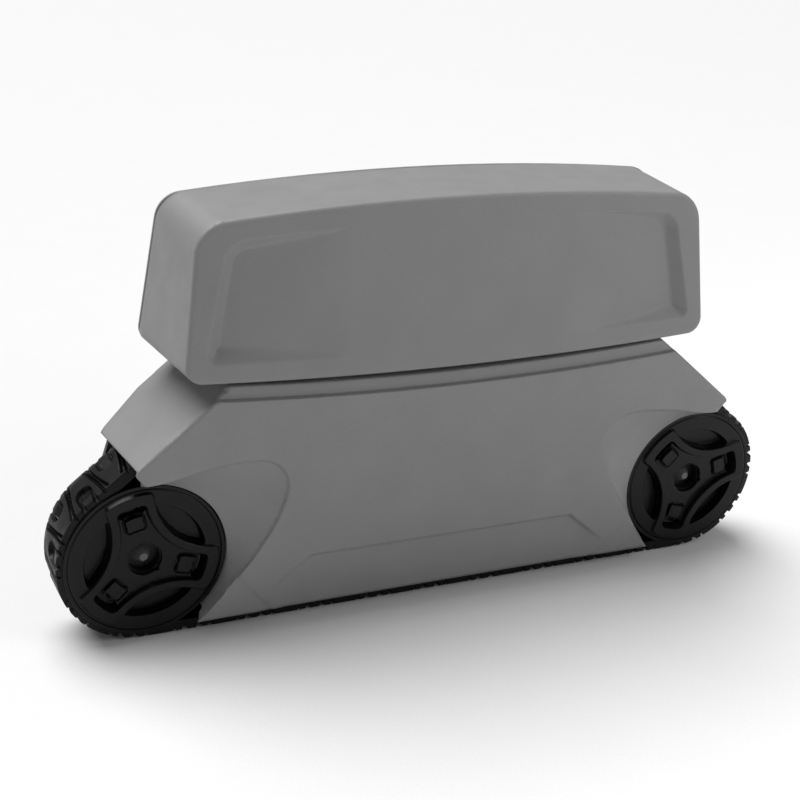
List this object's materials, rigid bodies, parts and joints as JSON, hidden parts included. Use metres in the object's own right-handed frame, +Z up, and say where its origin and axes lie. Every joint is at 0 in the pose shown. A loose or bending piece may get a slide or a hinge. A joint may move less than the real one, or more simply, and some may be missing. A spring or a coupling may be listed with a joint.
{
  "type": "pool cleaner side drive unit",
  "caption": "Side drive unit of a tracked pool cleaner: moulded casing, buoyant float on top, rubber track on wheels, gear input from the cleaner's motor.",
  "frame": {"origin": "on the ground under the middle of the unit's box", "axes": "+X along the unit, -Y the outer side with the wheel caps, +Y towards the cleaner's main body, +Z up"},
  "size_m": [0.552, 0.088, 0.3],
  "materials": {
    "casing_grey": "fine moulded grain",
    "plate_grey": "moulded",
    "float_grey": "fine moulded grain",
    "foam": "closed-cell foam",
    "track_rubber": "moulded rubber, slight gloss",
    "wheel_black": "satin",
    "cap_black": "glossy",
    "bush_plastic": "smooth acetal",
    "gear_plastic": "smooth acetal",
    "bracket_plastic": "moulded",
    "seal_rubber": "smooth",
    "steel": "stainless",
    "nut_black": "satin"
  },
  "bodies": {
    "side_unit": {"side_casing": "casing_grey", "inner_plate": "plate_grey", "casing_screws": "steel", "gear_cover": "plate_grey", "gear_cover_screws": "steel", "shaft_seal": "seal_rubber", "pinion_bushes": "bush_plastic", "drive_bush_outer": "bush_plastic", "drive_bush_inner": "bush_plastic", "idler_axle": "steel", "roller_axles": "steel", "track_belt": "track_rubber", "front_axle": "steel", "rear_axle": "steel", "axle_washers": "wheel_black", "axle_screws": "nut_black", "float_shell": "float_grey", "float_foam": "foam", "float_back": "float_grey", "float_back_screws": "steel", "float_bracket_front": "bracket_plastic", "float_bracket_rear": "bracket_plastic", "float_bracket_screws": "steel"},
    "front_wheel": {"front_wheel_drum": "wheel_black", "front_wheel_cap": "cap_black", "front_wheel_latches": "cap_black", "front_wheel_bearings": "bush_plastic"},
    "rear_wheel": {"rear_wheel_drum": "wheel_black", "rear_wheel_cap": "cap_black", "rear_wheel_latches": "cap_black", "rear_wheel_bearings": "bush_plastic"},
    "drive_train": {"drive_pulley": "wheel_black", "drive_shaft": "steel", "drive_gear": "gear_plastic", "drive_circlip": "steel"},
    "motor_pinion": {"drive_pinion": "gear_plastic"},
    "idler": {"idler_pulley": "wheel_black", "idler_bushes": "bush_plastic"},
    "roller_1": {"support_roller_1": "wheel_black"},
    "roller_2": {"support_roller_2": "wheel_black"},
    "roller_3": {"support_roller_3": "wheel_black"},
    "roller_4": {"support_roller_4": "wheel_black"}
  },
  "joints": [
    {"name": "front_wheel_spin", "type": "hinge", "parent": "side_unit", "child": "front_wheel", "pos_m": [-0.216, -0.002, 0.06], "axis": [0, 1, 0], "continuous": true},
    {"name": "rear_wheel_spin", "type": "hinge", "parent": "side_unit", "child": "rear_wheel", "pos_m": [0.216, -0.002, 0.06], "axis": [0, 1, 0], "continuous": true},
    {"name": "drive_spin", "type": "hinge", "parent": "side_unit", "child": "drive_train", "pos_m": [0.17455, -0.002, 0.136], "axis": [0, 1, 0], "continuous": true},
    {"name": "pinion_spin", "type": "hinge", "parent": "side_unit", "child": "motor_pinion", "pos_m": [0.14072, 0.032, 0.12369], "axis": [0, 1, 0], "continuous": true},
    {"name": "idler_spin", "type": "hinge", "parent": "side_unit", "child": "idler", "pos_m": [-0.17455, -0.002, 0.136], "axis": [0, 1, 0], "continuous": true},
    {"name": "roller_1_spin", "type": "hinge", "parent": "side_unit", "child": "roller_1", "pos_m": [-0.108, -0.002, 0.022], "axis": [0, 1, 0], "continuous": true},
    {"name": "roller_2_spin", "type": "hinge", "parent": "side_unit", "child": "roller_2", "pos_m": [-0.036, -0.002, 0.022], "axis": [0, 1, 0], "continuous": true},
    {"name": "roller_3_spin", "type": "hinge", "parent": "side_unit", "child": "roller_3", "pos_m": [0.036, -0.002, 0.022], "axis": [0, 1, 0], "continuous": true},
    {"name": "roller_4_spin", "type": "hinge", "parent": "side_unit", "child": "roller_4", "pos_m": [0.108, -0.002, 0.022], "axis": [0, 1, 0], "continuous": true}
  ],
  "couplings": [
    {"joint": "rear_wheel_spin", "follows": "front_wheel_spin", "ratio": 1},
    {"joint": "drive_spin", "follows": "front_wheel_spin", "ratio": 2.4545},
    {"joint": "idler_spin", "follows": "front_wheel_spin", "ratio": 2.4545},
    {"joint": "pinion_spin", "follows": "front_wheel_spin", "ratio": -4.9091},
    {"joint": "roller_1_spin", "follows": "front_wheel_spin", "ratio": 3.375},
    {"joint": "roller_2_spin", "follows": "front_wheel_spin", "ratio": 3.375},
    {"joint": "roller_3_spin", "follows": "front_wheel_spin", "ratio": 3.375},
    {"joint": "roller_4_spin", "follows": "front_wheel_spin", "ratio": 3.375}
  ]
}
